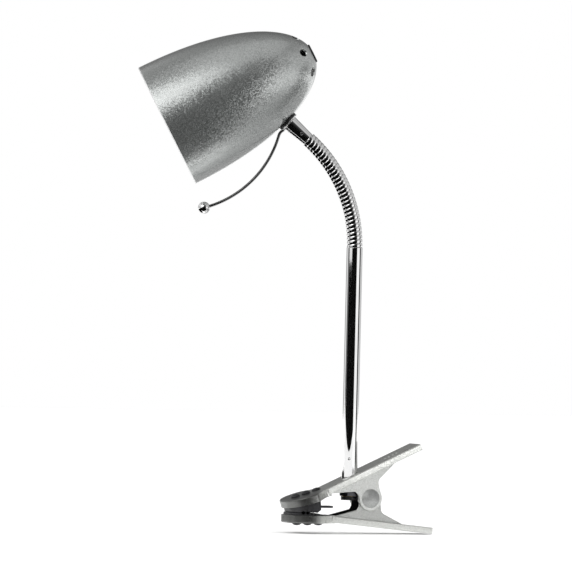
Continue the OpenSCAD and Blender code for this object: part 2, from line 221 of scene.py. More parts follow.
def bend_point(phi):
    """The gooseneck's centreline in the head plane, phi degrees round its bend."""
    a = math.radians(phi)
    return -BEND_R * (1 - math.cos(a)), STEM_TOP + BEND_R * math.sin(a)


def at_turn(phi):
    x, z = bend_point(phi)
    return HEAD_PLANE @ moved(x, 0, z) @ turned(-phi, "Y")


def along_mount(z):
    """A point of the head plane on the mount's axis."""
    a = math.radians(NECK_TURN)
    x, h = bend_point(NECK_TURN)
    return x - z * math.sin(a), h + z * math.cos(a)


MOUNT = at_turn(NECK_TURN)
pitch = math.radians(SHADE_PITCH)
seat_x, seat_h = along_mount(SEAT_Z)
seat_r = shade_radius(SEAT_T)
RIM_X = seat_x - SEAT_T * math.cos(pitch) - seat_r * math.sin(pitch)
RIM_Z = seat_h - SEAT_T * math.sin(pitch) + seat_r * math.cos(pitch)
SHADE = HEAD_PLANE @ moved(RIM_X, 0, RIM_Z) @ turned(90 - SHADE_PITCH, "Y")
flange_x, flange_h = along_mount(FERRULE_LEN + FLANGE_T / 2)
FLANGE = HEAD_PLANE @ moved(flange_x, 0, flange_h)

# ------------ mesh tools


def placed(name, data):
    """A new object of the scene."""
    obj = bpy.data.objects.new(name, data)
    scene.collection.objects.link(obj)
    return obj


def piece(name, points, faces, place=ROW):
    """A mesh from points in millimetres in the frame `place`, with its faces turned one way."""
    mesh = bpy.data.meshes.new(name)
    mesh.from_pydata([(place @ Vector(p)) * MM for p in points], [], faces)
    bm = bmesh.new()
    bm.from_mesh(mesh)
    bmesh.ops.recalc_face_normals(bm, faces=bm.faces)
    bm.to_mesh(mesh)
    bm.free()
    return placed(name, mesh)


def bake(obj):
    """Applies the object's modifiers to its mesh."""
    bpy.context.view_layer.update()
    graph = bpy.context.evaluated_depsgraph_get()
    mesh = bpy.data.meshes.new_from_object(obj.evaluated_get(graph))
    obj.modifiers.clear()
    obj.data = mesh
    return obj


def bevelled(obj, width, segments, angle=30):
    mod = obj.modifiers.new("bevel", "BEVEL")
    mod.width = width * MM
    mod.segments = segments
    mod.limit_method = "ANGLE"
    mod.angle_limit = math.radians(angle)
    return bake(obj)


def combined(obj, others, how="UNION"):
    """Adds, cuts or intersects other closed meshes, which are used up."""
    for other in others:
        mod = obj.modifiers.new("solid", "BOOLEAN")
        mod.operation = how
        mod.object = other
        mod.solver = "EXACT"
        bake(obj)
        bpy.data.objects.remove(other)
    return obj


def joined(obj, others):
    """Puts other closed meshes into the same piece."""
    bm = bmesh.new()
    bm.from_mesh(obj.data)
    for other in others:
        bm.from_mesh(other.data)
        bpy.data.objects.remove(other)
    bm.to_mesh(obj.data)
    bm.free()


def smooth(obj, angle=32, weighted=True):
    """Smooth shading that keeps edges sharper than `angle`, with flats kept flat."""
    mesh = obj.data
    mesh.validate()
    mesh.polygons.foreach_set("use_smooth", [True] * len(mesh.polygons))
    mesh.set_sharp_from_angle(angle=math.radians(angle))
    if weighted:
        mod = obj.modifiers.new("normals", "WEIGHTED_NORMAL")
        mod.keep_sharp = True
        mod.weight = 80
        bake(obj)
    return obj


def full_turn(count):
    """Angles evenly round a circle."""
    return [2 * math.pi * k / count for k in range(count)]


def polar(radius, a, height=0):
    return radius * math.cos(a), radius * math.sin(a), height


def curve(start, pull, end, u):
    """A point on a quadratic curve, a share u of the way along it."""
    return start * (1 - u) ** 2 + pull * 2 * u * (1 - u) + end * u * u


def lathe(name, outline, place, steps, squeeze=None):
    """A closed outline of (radius, height) points turned about Z. `squeeze` may move each point."""
    points, rings = [], []
    for radius, height in outline:
        if radius < 1e-6:
            rings.append([len(points)] * steps)
            points.append((0, 0, height))
            continue
        rings.append(list(range(len(points), len(points) + steps)))
        for a in full_turn(steps):
            points.append(polar(squeeze(radius, a, height) if squeeze else radius, a, height))
    faces = []
    for i, ring in enumerate(rings):
        after = rings[(i + 1) % len(rings)]
        for k in range(steps):
            corners = [ring[k], ring[(k + 1) % steps], after[(k + 1) % steps], after[k]]
            corners = list(dict.fromkeys(corners))
            if len(corners) > 2:
                faces.append(corners)
    return piece(name, points, faces, place)


def closed_skin(rings, sides):
    """Faces of a skin of rings of points, whose last ring meets its first."""
    faces = []
    for i in range(rings):
        after = (i + 1) % rings
        for k in range(sides):
            j = (k + 1) % sides
            faces.append([i * sides + k, i * sides + j, after * sides + j, after * sides + k])
    return faces


def loft(name, loops, place):
    """A closed skin through loops of equally many points, capped at both ends."""
    count = len(loops[0])
    points = [p for loop in loops for p in loop]
    faces = [list(range(count))[::-1], [len(points) - count + k for k in range(count)]]
    for i in range(len(loops) - 1):
        for k in range(count):
            a, b = i * count + k, i * count + (k + 1) % count
            faces.append([a, b, b + count, a + count])
    return piece(name, points, faces, place)


def prism(name, outline, low, high, place=ROW):
    return loft(name, [[(x, y, z) for x, y in outline] for z in (low, high)], place)


def disc(name, radius, low, high, place, steps):
    """A plain round solid, used as a cutter."""
    return lathe(name, [(0, low), (radius, low), (radius, high), (0, high)], place, steps)


def arc(centre, radius, start, stop, count):
    """Points on a circle from one angle to another, in degrees."""
    turns = [math.radians(start + (stop - start) * k / count) for k in range(count + 1)]
    return [(centre[0] + radius * math.cos(a), centre[1] + radius * math.sin(a)) for a in turns]


def rounded(corners, count=5):
    """A closed outline from (x, y, radius) corners, each rounded by its radius."""
    outline = []
    for i, (x, y, radius) in enumerate(corners):
        here = Vector((x, y))
        if radius <= 0:
            outline.append((x, y))
            continue
        back = (Vector(corners[i - 1][:2]) - here).normalized()
        ahead = (Vector(corners[(i + 1) % len(corners)][:2]) - here).normalized()
        half = back.angle(ahead) / 2
        middle = here + (back + ahead).normalized() * radius / math.sin(half)
        first = here + back * radius / math.tan(half) - middle
        last = here + ahead * radius / math.tan(half) - middle
        sweep = first.angle_signed(last)
        for k in range(count + 1):
            turn = Matrix.Rotation(-sweep * k / count, 2)
            outline.append(tuple(middle + turn @ first))
    return outline


def tube(name, path, radius, place, sides):
    """A round wire along a path of points, with rounded ends."""
    rings = [(Vector(p), radius) for p in path]
    steps = 5
    for end, inner in ((0, 1), (-1, -2)):
        tip = rings[end][0]
        inward = (rings[inner][0] - tip).normalized()
        dome = []
        for k in range(1, steps):
            a = math.pi / 2 * k / steps
            dome.append((tip - inward * radius * math.sin(a), radius * math.cos(a)))
        rings = dome[::-1] + rings if end == 0 else rings + dome
    side = None
    loops = []
    last = len(rings) - 1
    for i, (here, thick) in enumerate(rings):
        along = (rings[min(i + 1, last)][0] - rings[max(i - 1, 0)][0]).normalized()
        if side is None:
            side = along.orthogonal().normalized()
        side = (side - along * side.dot(along)).normalized()
        other = along.cross(side)
        loops.append([here + (side * math.cos(a) + other * math.sin(a)) * thick for a in full_turn(sides)])
    return loft(name, loops, place)


# ------------ materials


def grey(value):
    return (value, value, value)


class Tree:
    """A node tree, with short names for what the recipes use."""

    def __init__(self, tree):
        self.tree = tree

    def add(self, kind, **settings):
        """A node. Settings with a capital feed its inputs, and the others are its own."""
        node = self.tree.nodes.new(kind)
        for key, value in settings.items():
            if key[0].isupper():
                self.feed(value, node.inputs[key.replace("_", " ")])
            else:
                setattr(node, key, value)
        return node

    def feed(self, value, target):
        """Links a socket to an input, or sets the input to a constant."""
        if isinstance(value, bpy.types.NodeSocket):
            self.tree.links.new(value, target)
        else:
            target.default_value = value

    def number(self, operation, *values):
        node = self.add("ShaderNodeMath", operation=operation)
        for value, target in zip(values, node.inputs):
            self.feed(value, target)
        return node.outputs["Value"]

    def vector(self, operation, first, *second):
        node = self.add("ShaderNodeVectorMath", operation=operation)
        self.feed(first, node.inputs[0])
        for value in second:
            self.feed(value, node.inputs["Scale" if operation == "SCALE" else 1])
        return node.outputs["Value" if operation == "DOT_PRODUCT" else "Vector"]

    def mapped(self, value, source, target=(0, 1), kind="SMOOTHSTEP"):
        """Takes a number from one range to another."""
        node = self.add("ShaderNodeMapRange", interpolation_type=kind, Value=value,
                        From_Min=source[0], From_Max=source[1], To_Min=target[0], To_Max=target[1])
        return node.outputs["Result"]

    def ramp(self, factor, stops):
        """A colour for each factor, from (position, colour) stops."""
        node = self.add("ShaderNodeValToRGB", Fac=factor)
        elements = node.color_ramp.elements
        elements.remove(elements[0])
        for i, (position, colour) in enumerate(stops):
            element = elements.new(position) if i else elements[0]
            element.position = position
            element.color = (*colour, 1)
        return node.outputs["Color"]

    def mixed(self, factor, first, second):
        """A blend of two colours."""
        node = self.add("ShaderNodeMix", data_type="RGBA", Factor=factor)
        for value, target in zip((first, second), [s for s in node.inputs if s.type == "RGBA"]):
            self.feed(value, target)
        return [s for s in node.outputs if s.type == "RGBA"][0]


class Nodes(Tree):
    """A material's node tree, with what feeds its one shader."""

    def __init__(self, name):
        self.material = bpy.data.materials.new(name)
        self.material.use_nodes = True
        super().__init__(self.material.node_tree)
        self.shader = self.tree.nodes["Principled BSDF"]
        self.where = self.add("ShaderNodeTexCoord").outputs["Object"]

    def put(self, **values):
        """Gives the shader's inputs a socket or a constant each."""
        for key, value in values.items():
            self.feed(value, self.shader.inputs[key.replace("_", " ")])

    def noise(self, scale, detail=3):
        node = self.add("ShaderNodeTexNoise", Scale=scale, Detail=detail, Roughness=0.55, Vector=self.where)
        return node.outputs["Fac"]

    def colours(self, factor, low, high, start=0.3, stop=0.7):
        colour = self.ramp(factor, [(start, low), (stop, high)])
        self.put(Base_Color=colour)
        return colour

    def roughness(self, factor, low, high):
        self.put(Roughness=self.mapped(factor, (0.3, 0.7), (low, high), "LINEAR"))

    def paint_shade_along_x(self, colour, start, stop, least):
        """Painted shade: takes a colour down to a share of itself along the object's X, from stop back to
        start.
        """
        split = self.add("ShaderNodeSeparateXYZ", Vector=self.where)
        share = self.mapped(split.outputs["X"], (start * MM, stop * MM), (least, 1))
        self.put(Base_Color=self.vector("SCALE", colour, share))

    def bump(self, height, strength, distance):
        node = self.add("ShaderNodeBump", Strength=strength, Distance=distance * MM, Height=height)
        self.put(Normal=node.outputs["Normal"])


def flake_paint(name, dark, light, grain, tilt, rough, coat, painted_shade=None):
    """Metallic paint: cells of flake, each tilted its own way, under a clear coat; painted_shade, if given,
    adds painted shade along X.
    """
    n = Nodes(name)
    flakes = n.add("ShaderNodeTexVoronoi", feature="F1", Scale=1 / (grain * MM), Vector=n.where)
    lean = n.vector("SCALE", n.vector("SUBTRACT", flakes.outputs["Color"], grey(0.5)), tilt)
    flat = n.add("ShaderNodeNewGeometry").outputs["Normal"]
    n.put(Normal=n.vector("NORMALIZE", n.vector("ADD", flat, lean)))
    split = n.add("ShaderNodeSeparateColor", Color=flakes.outputs["Color"])
    colour = n.colours(split.outputs["Red"], dark, light, 0.05, 0.95)
    # painted shade: the colour darkens along X, standing in for dark reflections
    if painted_shade:
        n.paint_shade_along_x(colour, *painted_shade)
    n.roughness(n.noise(60), rough - 0.03, rough + 0.03)
    n.put(Metallic=0.85, Coat_Weight=coat, Coat_Roughness=0.05, Coat_IOR=1.5)
    return n.material


def chrome_plate():
    n = Nodes("chrome")
    n.colours(n.noise(90), grey(0.86), grey(0.93))
    n.roughness(n.noise(260, 4), 0.025, 0.06)
    n.bump(n.noise(900, 2), 0.05, 0.02)
    n.put(Metallic=1.0)
    return n.material


def plain_metal(name, dark, light, rough):
    n = Nodes(name)
    grain = n.noise(350, 4)
    n.colours(grain, dark, light)
    n.roughness(grain, rough - 0.07, rough + 0.07)
    n.bump(n.noise(1050, 2), 0.15, 0.03)
    n.put(Metallic=1.0)
    return n.material


def moulded(name, dark, light, rough, pebble, bump):
    """Plastic or rubber with a fine moulded grain."""
    n = Nodes(name)
    n.colours(n.noise(220, 5), dark, light)
    n.roughness(n.noise(500, 3), rough - 0.06, rough + 0.06)
    n.bump(n.noise(pebble, 3), bump, 0.08)
    n.put(Specular_IOR_Level=0.45)
    return n.material


def opal_glass():
    n = Nodes("opal_glass")
    n.colours(n.noise(40), (0.86, 0.85, 0.82), (0.9, 0.89, 0.86))
    n.roughness(n.noise(30), 0.1, 0.16)
    n.put(Subsurface_Weight=0.3, Subsurface_Scale=0.004, Coat_Weight=0.4, Coat_Roughness=0.04)
    return n.material


def enamel():
    n = Nodes("white_enamel")
    n.colours(n.noise(70), grey(0.8), grey(0.84))
    n.roughness(n.noise(120), 0.3, 0.4)
    n.bump(n.noise(700, 2), 0.12, 0.04)
    return n.material


def floor_paint():
    n = Nodes("pale_floor")
    n.colours(n.noise(3), grey(0.93), grey(0.95))
    n.roughness(n.noise(12), 0.75, 0.85)
    n.put(Specular_IOR_Level=0.1)
    return n.material


MAT = {
    "shade_paint": flake_paint("shade_flake", (0.42, 0.44, 0.43), (0.66, 0.68, 0.67),
                               grain=0.62, tilt=0.22, rough=0.31, coat=1.0),
    # The levers' paint darkens toward the jaw heads, to a fifth at X 0 and in front of it: painted shade
    # for the dark reflections on the jaws.
    "silver_paint": flake_paint("silver_flake", (0.68, 0.69, 0.66), (0.84, 0.85, 0.82),
                                grain=0.4, tilt=0.14, rough=0.3, coat=0.35, painted_shade=(0, 10, 0.2)),
    "chrome": chrome_plate(),
    "steel": plain_metal("zinc_steel", (0.5, 0.5, 0.51), (0.66, 0.66, 0.66), 0.32),
    "spring_steel": plain_metal("spring_wire", (0.1, 0.1, 0.11), (0.17, 0.17, 0.18), 0.36),
    "brass": plain_metal("brass", (0.6, 0.42, 0.17), (0.76, 0.56, 0.26), 0.28),
    "nickel": plain_metal("nickel", (0.6, 0.57, 0.5), (0.72, 0.69, 0.62), 0.24),
    "rubber": moulded("rubber", grey(0.012), (0.035, 0.035, 0.04), 0.42, 900, 0.6),
    "black_plastic": moulded("black_plastic", grey(0.008), grey(0.016), 0.36, 2600, 0.15),
    "lead_sleeve": moulded("lead_sleeve", grey(0.7), grey(0.78), 0.5, 1500, 0.3),
    "bulb_glass": opal_glass(),
}
ENAMEL = enamel()
# Darker, duller metal for the handle wire: its dark tone is painted reflection, standing in for the black
# surroundings that it reflects.
WIRE_DARK_REFLECTION = plain_metal("bright_wire", grey(0.3), grey(0.38), 0.13)
# Near-black paint on the levers' inner faces: painted shade where the folded sheet lies in shadow.
INNER_PAINTED_SHADE = moulded("dark_primer", grey(0.008), grey(0.014), 0.6, 900, 0.1)
# The side plates' paint: a darker copy of the lever paint, painted shade, with a rougher, thinner coat.
PLATE_PAINTED_SHADE = flake_paint("plate_flake", (0.56, 0.57, 0.55), (0.7, 0.71, 0.69),
                    grain=0.4, tilt=0.16, rough=0.42, coat=0.2)
CAP_PAINT = flake_paint("cap_flake", (0.42, 0.43, 0.42), (0.56, 0.57, 0.56),
                        grain=0.35, tilt=0.2, rough=0.5, coat=0.1)


def finish_piece(obj, slot, body, *nodes):
    """Gives a piece its slot's material and its body, and hides the CAD nodes that it stands for."""
    obj.data.materials.clear()
    obj.data.materials.append(MAT[slot])
    if body:
        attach(obj, body)
    if nodes:
        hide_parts(*nodes)


# ------------ clamp


def lever_channel(name, ear_in, place):
    """The folded sheet: a flat back with a deep strip down each side."""
    back_in = LEVER_RISE - SHEET
    outline = rounded([
        (STRIP_HALF, STRIP_LOW, 0.5), (STRIP_HALF, LEVER_RISE, 0.9),
        (-STRIP_HALF, LEVER_RISE, 0.9), (-STRIP_HALF, STRIP_LOW, 0.5),
        (-ear_in, STRIP_LOW, 0.4), (-ear_in, back_in, 0.6),
        (ear_in, back_in, 0.6), (ear_in, STRIP_LOW, 0.4),
    ], 3)
    channel = prism(name, outline, LEVER_START, LEVER_END, place @ ALONG_X)
    return bevelled(channel, 0.45, 2, 50)


def ear_plate(ear_in, side, place):
    """A side plate: a gusset under the strip, with a round ear at the pivot."""
    meet = math.degrees(math.acos(-8.2 / EAR_R))
    gusset = rounded([(9.35, 1, 0), (9.7, 4, 0), (10.9, 9.7, 4.5), (29, STRIP_LOW, 0), (29, 20.2, 0),
                      (-27.5, 20.2, 0), (-27.5, STRIP_LOW, 0), (-9.3, 9.6, 1.5), (-8.2, 7, 0)])
    outline = arc((0, 0), EAR_R, meet, 360, 40) + gusset
    outer = ear_in + SHEET
    low, high = (-outer, -ear_in) if side > 0 else (ear_in, outer)
    return bevelled(prism("ear", outline, low, high, place @ STANDING), 0.9, 3, 40)


def head_half(x, flare):
    """Half the width of a jaw head at x."""
    if x <= flare[0]:
        return JAW_HALF
    if x >= flare[1]:
        return LEVER_HALF
    swing = math.cos(math.pi * (x - flare[0]) / (flare[1] - flare[0]))
    return LEVER_HALF + (JAW_HALF - LEVER_HALF) / 2 * (1 + swing)


def jaw_outline(front, flare, inset, back):
    radius = CORNER_R - inset
    corner = arc((CORNER_R - front, JAW_HALF - CORNER_R), radius, 180, 90, 12)
    steps = 20
    stations = [flare[0] + (flare[1] - flare[0]) * i / steps for i in range(steps + 1)]
    flank = [(x, head_half(x, flare) - inset) for x in stations]
    near = corner + flank + [(back, LEVER_HALF - inset)]
    return near + [(x, -y) for x, y in reversed(near)]


def jaw_shell(front, flare, place):
    """A jaw head: a shallow tray with a rounded edge and a turned-down skirt."""
    back = flare[1] + 1.5
    edge = 1.1

    def loop(inset, z):
        return [(x, y, z) for x, y in jaw_outline(front, flare, inset, back)]

    loops = [loop(SHEET, -SHEET), loop(SHEET, -JAW_H + 0.3), loop(SHEET - 0.3, -JAW_H)]
    loops += [loop(0.3, -JAW_H), loop(0, -JAW_H + 0.3)]
    for k in range(6):
        a = math.pi / 2 * k / 5
        loops.append(loop(edge * (1 - math.cos(a)), -edge * (1 - math.sin(a))))
    return loft("jaw", loops, place)


def lever(name, place, head, front, flare, ear_in, studs):
    body = lever_channel(name, ear_in, place)
    parts = [ear_plate(ear_in, side, place) for side in (-1, 1)]
    combined(body, parts + [jaw_shell(front, flare, head)])
    holes = [disc("hole", SHANK_R, -SHEET - 2, 3, head @ moved(x, 0, 0), 32) for x in studs]
    holes.append(disc("hole", PIN_R + 0.1, -30, 30, moved(*PIVOT) @ STANDING, 48))
    return combined(body, holes, "DIFFERENCE")


def lever_finish(obj, place, ear_in):
    """Painted shade: near-black inside the folded sheet, and a darker copy of the paint, with a flatter
    coat, on the side plates.
    """
    mesh = obj.data
    mesh.materials.append(INNER_PAINTED_SHADE)
    mesh.materials.append(PLATE_PAINTED_SHADE)
    back = place.inverted()
    for poly in mesh.polygons:
        at = back @ (poly.center / MM)
        facing = back.to_3x3() @ poly.normal
        aside = abs(at.y)
        enclosed = aside < ear_in + 0.3 and at.z < LEVER_RISE - 0.8
        between_ends = LEVER_START + 0.1 < at.x < LEVER_END - 0.1
        plate = abs(aside - ear_in - SHEET) < 0.1 and aside < STRIP_HALF - 0.2
        # Inward faces inside the fold get the near-black painted shade.
        if enclosed and between_ends and (facing.y * at.y < -0.1 or facing.z < -0.7):
            poly.material_index = 1
        # Outer faces of the side plates get the darker copy: painted shade.
        elif plate and abs(facing.y) > 0.95:
            poly.material_index = 2


def upper_lever():
    obj = lever("upper_lever_shell", UPPER, UPPER_HEAD, UPPER_FRONT, UPPER_FLARE,
                UPPER_EAR_IN, UPPER_STUDS)
    combined(obj, [disc("hole", TUBE_R + 0.35, 17, 60, STEM, 64)], "DIFFERENCE")
    smooth(obj)
    dots = []
    for k in range(4):
        spot = UPPER @ moved(25.5 + 3.4 * k, -2, LEVER_RISE - 0.05)
        dots.append(lathe("dot", [(0, -0.3), (1.1, -0.3), (1.1, 0), (0.8, 0.28), (0, 0.4)], spot, 24))
    joined(obj, [smooth(dot, 60, False) for dot in dots])
    finish_piece(obj, "silver_paint", "upper_lever", "upper_lever")
    lever_finish(obj, UPPER, UPPER_EAR_IN)


def lower_lever():
    obj = lever("lower_lever_shell", LOWER, LOWER_HEAD, LOWER_FRONT, LOWER_FLARE,
                LOWER_EAR_IN, LOWER_STUDS)
    finish_piece(smooth(obj), "silver_paint", "lower_lever", "lower_lever")
    lever_finish(obj, LOWER, LOWER_EAR_IN)


def stud(x, head):
    """A rubber stud through the jaw head, with a domed end."""
    foot = -SHEET - 1.5
    side = 0.25
    dome = [(STUD_R * math.cos(a), side + (STUD_H - side) * math.sin(a))
            for a in (math.pi / 2 * k / 8 for k in range(8))]
    outline = [(0, foot), (SHANK_R - 0.05, foot), (SHANK_R - 0.05, 0.02), (STUD_R - 0.3, 0.02)]
    return lathe("stud", outline + dome + [(0, STUD_H)], head @ moved(x, 0, 0), 40)


def grip_pad(name, head, front, flare, back, profile, studs):
    """Rubber under a jaw head: it fills the skirt, down to a toothed profile."""
    inset = SHEET + 0.1
    outline = jaw_outline(front, flare, inset, back)
    block = prism(name, outline, -20, -SHEET - 0.05, head)
    side = prism("profile", profile, -JAW_HALF, JAW_HALF, STANDING)
    combined(block, [side], "INTERSECT")
    bevelled(block, 0.4, 2, 35)
    return combined(block, [stud(x, head) for x in studs])


def teeth(z, depth):
    """Vees across the grip, from valley to crest."""
    return [(-9 + TOOTH_PITCH * (i + k / 2), z + depth * k) for i in range(TEETH) for k in (0, 1)]


def pads():
    profile = [(-22, 30), (-22, PAD_GAP)] + teeth(PAD_GAP, TOOTH_DEPTH)
    profile += [(3, PAD_GAP), (6, 2.6), (6, 9.5), (14, 12), (14, 30)]
    upper = grip_pad("upper_grip_pad", UPPER_HEAD, UPPER_FRONT, UPPER_FLARE, 13, profile, UPPER_STUDS)
    tongue = rounded([(4, -5, 0), (21.5, -5, 2.5), (21.5, 5, 2.5), (4, 5, 0)])
    combined(upper, [bevelled(prism("tongue", tongue, 3.4, 4.9), 0.4, 2)])
    finish_piece(smooth(upper), "rubber", "upper_lever", "upper_pad")
    profile = [(-22, -30), (-22, -PAD_GAP)] + teeth(-PAD_GAP, -TOOTH_DEPTH)
    profile += [(3, -PAD_GAP), (14, -2.4), (14, -30)]
    lower = grip_pad("lower_grip_pad", LOWER_HEAD, LOWER_FRONT, LOWER_FLARE, 16, profile, LOWER_STUDS)
    finish_piece(smooth(lower), "rubber", "lower_lever", "lower_pad")


def pivot_caps():
    ball = (CAP_R ** 2 + CAP_H ** 2) / (2 * CAP_H)
    spread = math.asin(CAP_R / ball)
    dome = [(ball * math.sin(a), CAP_H - ball * (1 - math.cos(a)))
            for a in (spread * (1 - k / 14) for k in range(2, 14))]
    outline = [(PIN_R + 0.05, 0), (CAP_R - 0.25, 0), (CAP_R, 0.2), (CAP_R - 0.12, 0.4)]
    outline += dome + [(0, CAP_H), (0, 1.6), (PIN_R + 0.05, 1.6)]
    for name, side in (("near", -1), ("far", 1)):
        place = moved(*PIVOT) @ moved(0, side * (LEVER_HALF + 0.05), 0) @ turned(-90 * side, "X")
        cap = lathe("pivot_dome_" + name, outline, place, 72)
        finish_piece(smooth(cap, 40), "silver_paint", "upper_lever", "pivot_cap_" + name)
        cap.data.materials[0] = CAP_PAINT


def torsion_spring():
    """A close coil round the pin, with a leg under each lever's back."""
    reach = Vector((27, LEVER_RISE - SHEET - WIRE_R - 0.2))
    tangent = math.atan2(reach.y, reach.x) + math.acos(COIL_R / reach.length)
    leg = math.sqrt(reach.length ** 2 - COIL_R ** 2)
    upper_at = tangent + math.radians(UPPER_SLOPE)
    lower_at = 2 * math.pi - tangent - math.radians(LOWER_SLOPE)
    turns = lower_at - upper_at + 2 * math.pi * 5
    steps = 180
    path = []
    for k in range(steps + 1):
        a = upper_at + turns * k / steps
        y = COIL_WIDE * (k / steps - 0.5)
        path.append(Vector((COIL_R * math.cos(a), y, COIL_R * math.sin(a))))

    def along(a):
        return Vector((-math.sin(a), 0, math.cos(a)))

    first = [path[0] - along(upper_at) * leg * k / 12 for k in range(12, 0, -1)]
    last = [path[-1] + along(upper_at + turns) * leg * k / 12 for k in range(1, 13)]
    obj = tube("torsion_coil", first + path + last, WIRE_R, moved(*PIVOT), 14)
    finish_piece(smooth(obj, 50, False), "spring_steel", None, "torsion_spring")
    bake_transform(obj)


# ------------ stem and gooseneck


def stem_tube():
    """The chrome tube, with softened ends and one small dimple low on its front."""
    dimple = Vector((0, 0, 40.5)) + turned(-90 - HEAD_YAW - 4, "Z") @ Vector((TUBE_R, 0, 0))

    def dent(radius, a, height):
        if radius < TUBE_R - 0.1:
            return radius
        away = (Vector(polar(radius, a, height)) - dimple).length
        return radius - 0.45 * math.exp(-(away / 0.5) ** 2)

    fine = [38.5 + 0.2 * k for k in range(21)]
    outline = [(TUBE_BORE, TUBE_LOW), (TUBE_R - 0.3, TUBE_LOW), (TUBE_R, TUBE_LOW + 0.3)]
    outline += [(TUBE_R, z) for z in fine]
    outline += arc((TUBE_R - 0.7, STEM_TOP - 0.7), 0.7, 0, 90, 6) + [(TUBE_BORE, STEM_TOP)]
    obj = lathe("stem_chrome_tube", outline, STEM, 160, dent)
    finish_piece(smooth(obj, 50), "chrome", "stem", "stem_tube")


def spiral_skin(along, around):
    """Radius of the gooseneck's round-wire spiral at a distance and an angle along the bend."""
    turn = (along / SPIRAL_PITCH - around / (2 * math.pi)) % 1
    swell = math.sqrt(1 - 0.93 * (2 * turn - 1) ** 2)
    return NECK_R - SPIRAL_DEPTH * (1 - swell)


def neck_points(k, sides, rows):
    """One length of gooseneck: the points of its skin, then of its bore, and the skin's normals."""
    arc_len = math.radians(NECK_STEP) * BEND_R

    def skin(row, a):
        steps = k - 1 + row / rows
        return at_turn(steps * NECK_STEP) @ Vector(polar(spiral_skin(steps * arc_len, a), a))

    points, normals = [], []
    for row in range(rows + 1):
        for a in full_turn(sides):
            points.append(skin(row, a))
            lean = skin(row + 0.3, a) - skin(row - 0.3, a)
            turn = skin(row, a + 0.03) - skin(row, a - 0.03)
            normals.append(turn.cross(lean).normalized())
    for row in (rows, 0):
        end = at_turn((k - 1 + row / rows) * NECK_STEP)
        points += [end @ Vector(polar(NECK_BORE, a)) for a in full_turn(sides)]
    return points, normals


def neck_piece(k):
    """One joint's length of gooseneck: a ridged tube."""
    sides, rows = 72, 48
    points, normals = neck_points(k, sides, rows)
    obj = piece("gooseneck_%02d" % k, points, closed_skin(rows + 3, sides))
    mesh = obj.data
    mesh.polygons.foreach_set("use_smooth", [True] * len(mesh.polygons))
    corner_normals = []
    for poly in mesh.polygons:
        outer = all(v < len(normals) for v in poly.vertices)
        corner_normals += [normals[v] if outer else poly.normal.copy() for v in poly.vertices]
    mesh.normals_split_custom_set(corner_normals)
    cad = ["neck_coil_%d" % k] + (["neck_coil_%d" % (k + 1)] if k == NECK_JOINTS else [])
    finish_piece(obj, "chrome", None, *cad)
    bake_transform(obj)


# ------------ head


def ferrule():
    slope = (FERRULE_LARGE - FERRULE_SMALL) / FERRULE_LEN
    outline = [(NECK_BORE, 0.05)] + arc((FERRULE_SMALL - 0.45, 0.55), 0.5, -90, 0, 5)
    outline += [(FERRULE_SMALL + slope * z, z) for z in (2, 6, 10, 14, 17)]
    outline += arc((FERRULE_LARGE - 0.5, FERRULE_LEN - 0.55), 0.5, 0, 90, 5)
    outline += [(BOLT_R, FERRULE_LEN - 0.05), (BOLT_R, 12), (NECK_BORE, 12)]
    obj = lathe("ferrule_cone", outline, MOUNT, 96)
    seat = MOUNT @ moved(0, 0, SCREW_AT) @ turned(90, "X")
    combined(obj, [disc("hole", 1.25, 4, 8, seat, 32)], "DIFFERENCE")
    finish_piece(smooth(obj, 40), "chrome", "head", "ferrule")
    outline = [(0, 3), (1.15, 3), (1.15, 5.15), (0.95, 5.4), (0, 5.4)]
    screw = lathe("grub_screw", outline, seat, 32)
    hexagon = prism("key", arc((0, 0), 0.62, 0, 300, 5), 4.6, 7, seat)
    combined(screw, [hexagon], "DIFFERENCE")
    finish_piece(smooth(screw), "chrome", "head", "ferrule_screw")


def handle_point(angle):
    """A point of the handle wire's arc in the head plane."""
    a = math.radians(angle)
    x, z = HANDLE_CENTRE
    return Vector((x + HANDLE_R * math.cos(a), 0, z - HANDLE_R * math.sin(a)))


def aiming_handle():
    """A flange under the shade, with the long bent wire welded to its edge."""
    outline = [(BOLT_R, 0), (FLANGE_R - 0.5, 0)]
    outline += arc((FLANGE_R - 0.5, FLANGE_T / 2), FLANGE_T / 2, -90, 90, 8)[1:]
    outline += [(BOLT_R, FLANGE_T)]
    flange = lathe("handle_flange", outline, MOUNT @ moved(0, 0, FERRULE_LEN), 96)
    lean = math.radians(NECK_TURN)
    across = Vector((-math.cos(lean), 0, -math.sin(lean)))
    edge = across * WELD_R + Vector((math.sin(lean), 0, -math.cos(lean))) * WELD_DROP
    start = handle_point(HANDLE_FROM)
    sweep = HANDLE_TO - HANDLE_FROM
    steps = 60
    bend = [handle_point(HANDLE_FROM + sweep * k / steps) for k in range(1, steps + 1)]
    hook = [curve(edge, start, bend[1], k / 8) for k in range(9)]
    wire = tube("wire", hook + bend[2:], HANDLE_WIRE_R, FLANGE, 20)
    combined(flange, [wire])
    finish_piece(smooth(flange, 40), "chrome", "head", "handle_wire")
    # Faces beyond the flange, which are the wire's, get the darker metal: painted reflection.
    flange.data.materials.append(WIRE_DARK_REFLECTION)
    back = MOUNT.inverted()
    for poly in flange.data.polygons:
        at = back @ (poly.center / MM)
        if math.hypot(at.x, at.y) > FLANGE_R + 0.3:
            poly.material_index = 1


